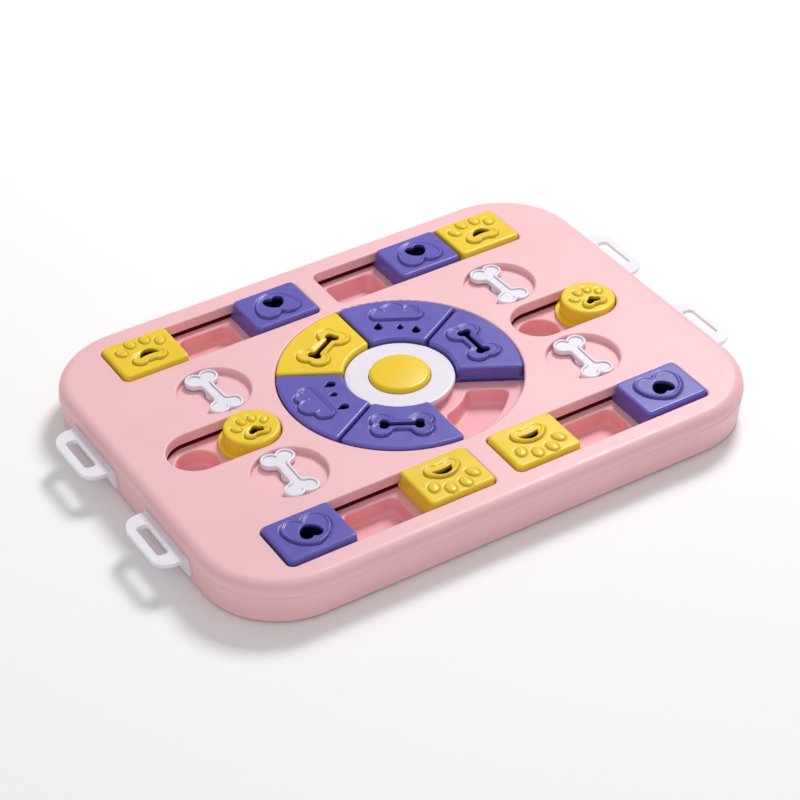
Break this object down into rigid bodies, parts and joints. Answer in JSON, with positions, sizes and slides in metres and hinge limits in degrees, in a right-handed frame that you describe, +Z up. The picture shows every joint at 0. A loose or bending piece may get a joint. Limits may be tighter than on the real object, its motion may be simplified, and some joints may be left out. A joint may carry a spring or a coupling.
{
  "type": "dog puzzle feeder toy",
  "caption": "Rounded board with treat pockets under sliding tiles, round sliders, a turning ring of wedges and pull drawers, with turning bones and a squeaker button.",
  "frame": {"origin": "middle of the footprint, on the surface the rubber feet stand on", "axes": "+X along the long side, +Y along the short side to the far row of tiles, +Z up"},
  "size_m": [0.373, 0.254, 0.0308],
  "materials": {
    "shell_pink": "satin moulded ABS",
    "tile_purple": "satin moulded ABS",
    "tile_yellow": "satin moulded ABS",
    "fitting_white": "smooth moulded ABS",
    "drawer_clear": "slightly translucent moulded polypropylene",
    "bulb_rubber": "soft moulded rubber",
    "foot_rubber": "matt rubber",
    "screw_steel": "zinc-plated steel"
  },
  "bodies": {
    "housing": {"top_panel": "shell_pink", "base_shell": "shell_pink", "slot_trough_far_left": "shell_pink", "slot_trough_far_right": "shell_pink", "slot_trough_near_left": "shell_pink", "slot_trough_near_right": "shell_pink", "round_trough_left": "shell_pink", "round_trough_right": "shell_pink", "hub_post": "shell_pink", "ring_trough_right": "shell_pink", "ring_trough_far_right": "shell_pink", "ring_trough_far_left": "shell_pink", "ring_trough_left": "shell_pink", "ring_trough_near_left": "shell_pink", "ring_trough_near_right": "shell_pink", "hub_disc": "fitting_white", "squeaker_bulb": "bulb_rubber", "squeaker_reed": "fitting_white", "housing_screws": "screw_steel", "rubber_foot_far_left": "foot_rubber", "rubber_foot_far_right": "foot_rubber", "rubber_foot_near_left": "foot_rubber", "rubber_foot_near_right": "foot_rubber"},
    "tile_far_left_paw": {"tile_far_left_paw": "tile_yellow"},
    "tile_far_left_heart": {"tile_far_left_heart": "tile_purple"},
    "tile_far_right_heart": {"tile_far_right_heart": "tile_purple"},
    "tile_far_right_paw": {"tile_far_right_paw": "tile_yellow"},
    "tile_near_left_heart": {"tile_near_left_heart": "tile_purple"},
    "tile_near_left_paw": {"tile_near_left_paw": "tile_yellow"},
    "tile_near_right_paw": {"tile_near_right_paw": "tile_yellow"},
    "tile_near_right_heart": {"tile_near_right_heart": "tile_purple"},
    "round_slider_left": {"round_slider_left": "tile_yellow"},
    "round_slider_right": {"round_slider_right": "tile_yellow"},
    "wedge_bone_yellow": {"wedge_bone_yellow": "tile_yellow"},
    "wedge_cloud_far": {"wedge_cloud_far": "tile_purple"},
    "wedge_cloud_left": {"wedge_cloud_left": "tile_purple"},
    "wedge_bone_right": {"wedge_bone_right": "tile_purple"},
    "wedge_bone_near": {"wedge_bone_near": "tile_purple"},
    "squeak_button": {"squeak_button": "tile_yellow"},
    "bone_far_left": {"bone_far_left": "fitting_white", "bone_washer_far_left": "fitting_white"},
    "bone_far_right": {"bone_far_right": "fitting_white", "bone_washer_far_right": "fitting_white"},
    "bone_near_left": {"bone_near_left": "fitting_white", "bone_washer_near_left": "fitting_white"},
    "bone_near_right": {"bone_near_right": "fitting_white", "bone_washer_near_right": "fitting_white"},
    "drawer_far_left": {"drawer_far_left": "drawer_clear"},
    "drawer_far_right": {"drawer_far_right": "drawer_clear"},
    "drawer_near_left": {"drawer_near_left": "drawer_clear"},
    "drawer_near_right": {"drawer_near_right": "drawer_clear"}
  },
  "joints": [
    {"name": "tile_far_left_paw_slide", "type": "slide", "parent": "housing", "child": "tile_far_left_paw", "axis": [1, 0, 0], "range_m": [0, 0.04247]},
    {"name": "tile_far_left_heart_slide", "type": "slide", "parent": "housing", "child": "tile_far_left_heart", "axis": [1, 0, 0], "range_m": [-0.04247, 0]},
    {"name": "tile_far_right_heart_slide", "type": "slide", "parent": "tile_far_right_paw", "child": "tile_far_right_heart", "axis": [-1, 0, 0], "range_m": [0, 0.04247]},
    {"name": "tile_far_right_paw_slide", "type": "slide", "parent": "housing", "child": "tile_far_right_paw", "axis": [1, 0, 0], "range_m": [-0.04247, 0]},
    {"name": "tile_near_left_heart_slide", "type": "slide", "parent": "housing", "child": "tile_near_left_heart", "axis": [1, 0, 0], "range_m": [0, 0.04247]},
    {"name": "tile_near_left_paw_slide", "type": "slide", "parent": "housing", "child": "tile_near_left_paw", "axis": [1, 0, 0], "range_m": [-0.04247, 0]},
    {"name": "tile_near_right_paw_slide", "type": "slide", "parent": "housing", "child": "tile_near_right_paw", "axis": [1, 0, 0], "range_m": [0, 0.04247]},
    {"name": "tile_near_right_heart_slide", "type": "slide", "parent": "housing", "child": "tile_near_right_heart", "axis": [1, 0, 0], "range_m": [-0.04247, 0]},
    {"name": "round_slider_left_slide", "type": "slide", "parent": "housing", "child": "round_slider_left", "axis": [1, 0, 0], "range_m": [-0.0341, 0]},
    {"name": "round_slider_right_slide", "type": "slide", "parent": "housing", "child": "round_slider_right", "axis": [1, 0, 0], "range_m": [-0.0341, 0]},
    {"name": "wedge_bone_yellow_turn", "type": "hinge", "parent": "housing", "child": "wedge_bone_yellow", "pos_m": [0, 0, 0.0235], "axis": [0, 0, 1], "continuous": true},
    {"name": "wedge_cloud_far_turn", "type": "hinge", "parent": "housing", "child": "wedge_cloud_far", "pos_m": [0, 0, 0.0235], "axis": [0, 0, 1], "continuous": true},
    {"name": "wedge_cloud_left_turn", "type": "hinge", "parent": "housing", "child": "wedge_cloud_left", "pos_m": [0, 0, 0.0235], "axis": [0, 0, 1], "continuous": true},
    {"name": "wedge_bone_right_turn", "type": "hinge", "parent": "wedge_cloud_far", "child": "wedge_bone_right", "pos_m": [0, 0, 0.0235], "axis": [0, 0, 1], "range_deg": [-60, 0]},
    {"name": "wedge_bone_near_turn", "type": "hinge", "parent": "wedge_cloud_left", "child": "wedge_bone_near", "pos_m": [0, 0, 0.0235], "axis": [0, 0, 1], "range_deg": [0, 60]},
    {"name": "squeak_button_press", "type": "slide", "parent": "housing", "child": "squeak_button", "axis": [0, 0, -1], "range_m": [0, 0.0025], "stiffness_N_per_m": 1200, "springref_m": -0.0008, "deforming": ["squeaker_bulb"]},
    {"name": "bone_far_left_turn", "type": "hinge", "parent": "housing", "child": "bone_far_left", "pos_m": [-0.0955, 0.043, 0.0235], "axis": [0, 0, 1], "continuous": true},
    {"name": "bone_far_right_turn", "type": "hinge", "parent": "housing", "child": "bone_far_right", "pos_m": [0.0955, 0.043, 0.0235], "axis": [0, 0, 1], "continuous": true},
    {"name": "bone_near_left_turn", "type": "hinge", "parent": "housing", "child": "bone_near_left", "pos_m": [-0.0955, -0.043, 0.0235], "axis": [0, 0, 1], "continuous": true},
    {"name": "bone_near_right_turn", "type": "hinge", "parent": "housing", "child": "bone_near_right", "pos_m": [0.0955, -0.043, 0.0235], "axis": [0, 0, 1], "continuous": true},
    {"name": "drawer_far_left_pull", "type": "slide", "parent": "housing", "child": "drawer_far_left", "axis": [-1, 0, 0], "range_m": [0, 0.051]},
    {"name": "drawer_far_right_pull", "type": "slide", "parent": "housing", "child": "drawer_far_right", "axis": [1, 0, 0], "range_m": [0, 0.051]},
    {"name": "drawer_near_left_pull", "type": "slide", "parent": "housing", "child": "drawer_near_left", "axis": [-1, 0, 0], "range_m": [0, 0.051]},
    {"name": "drawer_near_right_pull", "type": "slide", "parent": "housing", "child": "drawer_near_right", "axis": [1, 0, 0], "range_m": [0, 0.051]}
  ],
  "couplings": [
    {"joint": "wedge_cloud_far_turn", "follows": "wedge_bone_yellow_turn", "ratio": 1},
    {"joint": "wedge_cloud_left_turn", "follows": "wedge_bone_yellow_turn", "ratio": 1}
  ]
}
